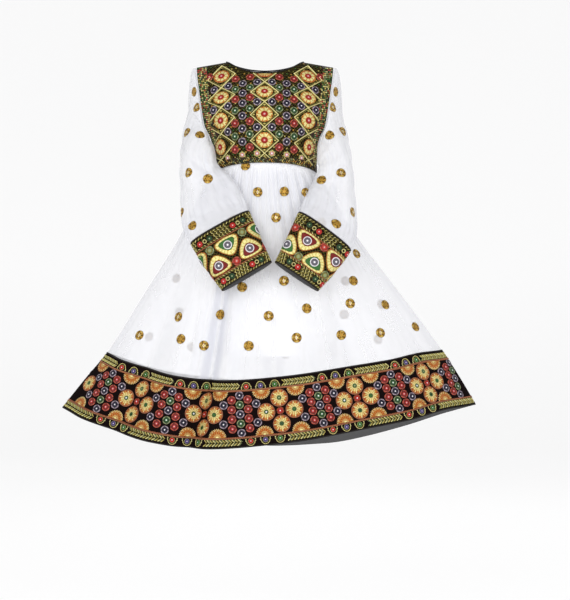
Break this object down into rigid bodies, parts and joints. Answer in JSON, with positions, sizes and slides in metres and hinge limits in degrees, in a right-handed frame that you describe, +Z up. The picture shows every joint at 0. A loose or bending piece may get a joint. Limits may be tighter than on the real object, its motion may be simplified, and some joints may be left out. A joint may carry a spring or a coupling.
{
  "type": "afghan dress",
  "caption": "Worn-shape Afghan frock with a fitted embroidered yoke, long sheer full sleeves with stiff cuffs, and a flared sheer skirt over a lining with a broad border at the hem.",
  "frame": {"origin": "midway between the two shoulder seams where they meet the neckline, on the plane that parts the front of the dress from the back", "axes": "+X to the wearer's left, which is the right of the picture; +Y from the front of the dress to its back, away from the camera; +Z up. The wearer faces -Y."},
  "size_m": [1.0333, 0.3926, 0.9775],
  "materials": {
    "yoke_ground": "black ground cloth under gold, red and green embroidery",
    "band_ground": "black ground cloth under gold, red and orange embroidery",
    "cuff_ground": "stiff black ground cloth under yellow and gold embroidery",
    "black_binding": "narrow black binding",
    "gold_braid": "woven metallic braid in dull gold",
    "sheer_cloth": "sheer white chiffon with gold sequin dots",
    "white_cloth": "opaque white lining cloth",
    "grey_facing": "matt grey backing cloth"
  },
  "bodies": {
    "root": {"bodice_front": "yoke_ground", "bodice_back": "white_cloth", "neck_binding": "black_binding", "armhole_braid_left": "gold_braid", "armhole_braid_right": "gold_braid", "waist_braid": "gold_braid", "sleeve_left": "sheer_cloth", "sleeve_right": "sheer_cloth", "cuff_left": "cuff_ground", "cuff_right": "cuff_ground", "cuff_facing_left": "grey_facing", "cuff_facing_right": "grey_facing", "skirt_front": "sheer_cloth", "skirt_back": "sheer_cloth", "underskirt_front": "white_cloth", "underskirt_back": "white_cloth", "hem_band_front": "band_ground", "hem_band_back": "band_ground", "hem_facing_front": "grey_facing", "hem_facing_back": "grey_facing"}
  },
  "joints": []
}
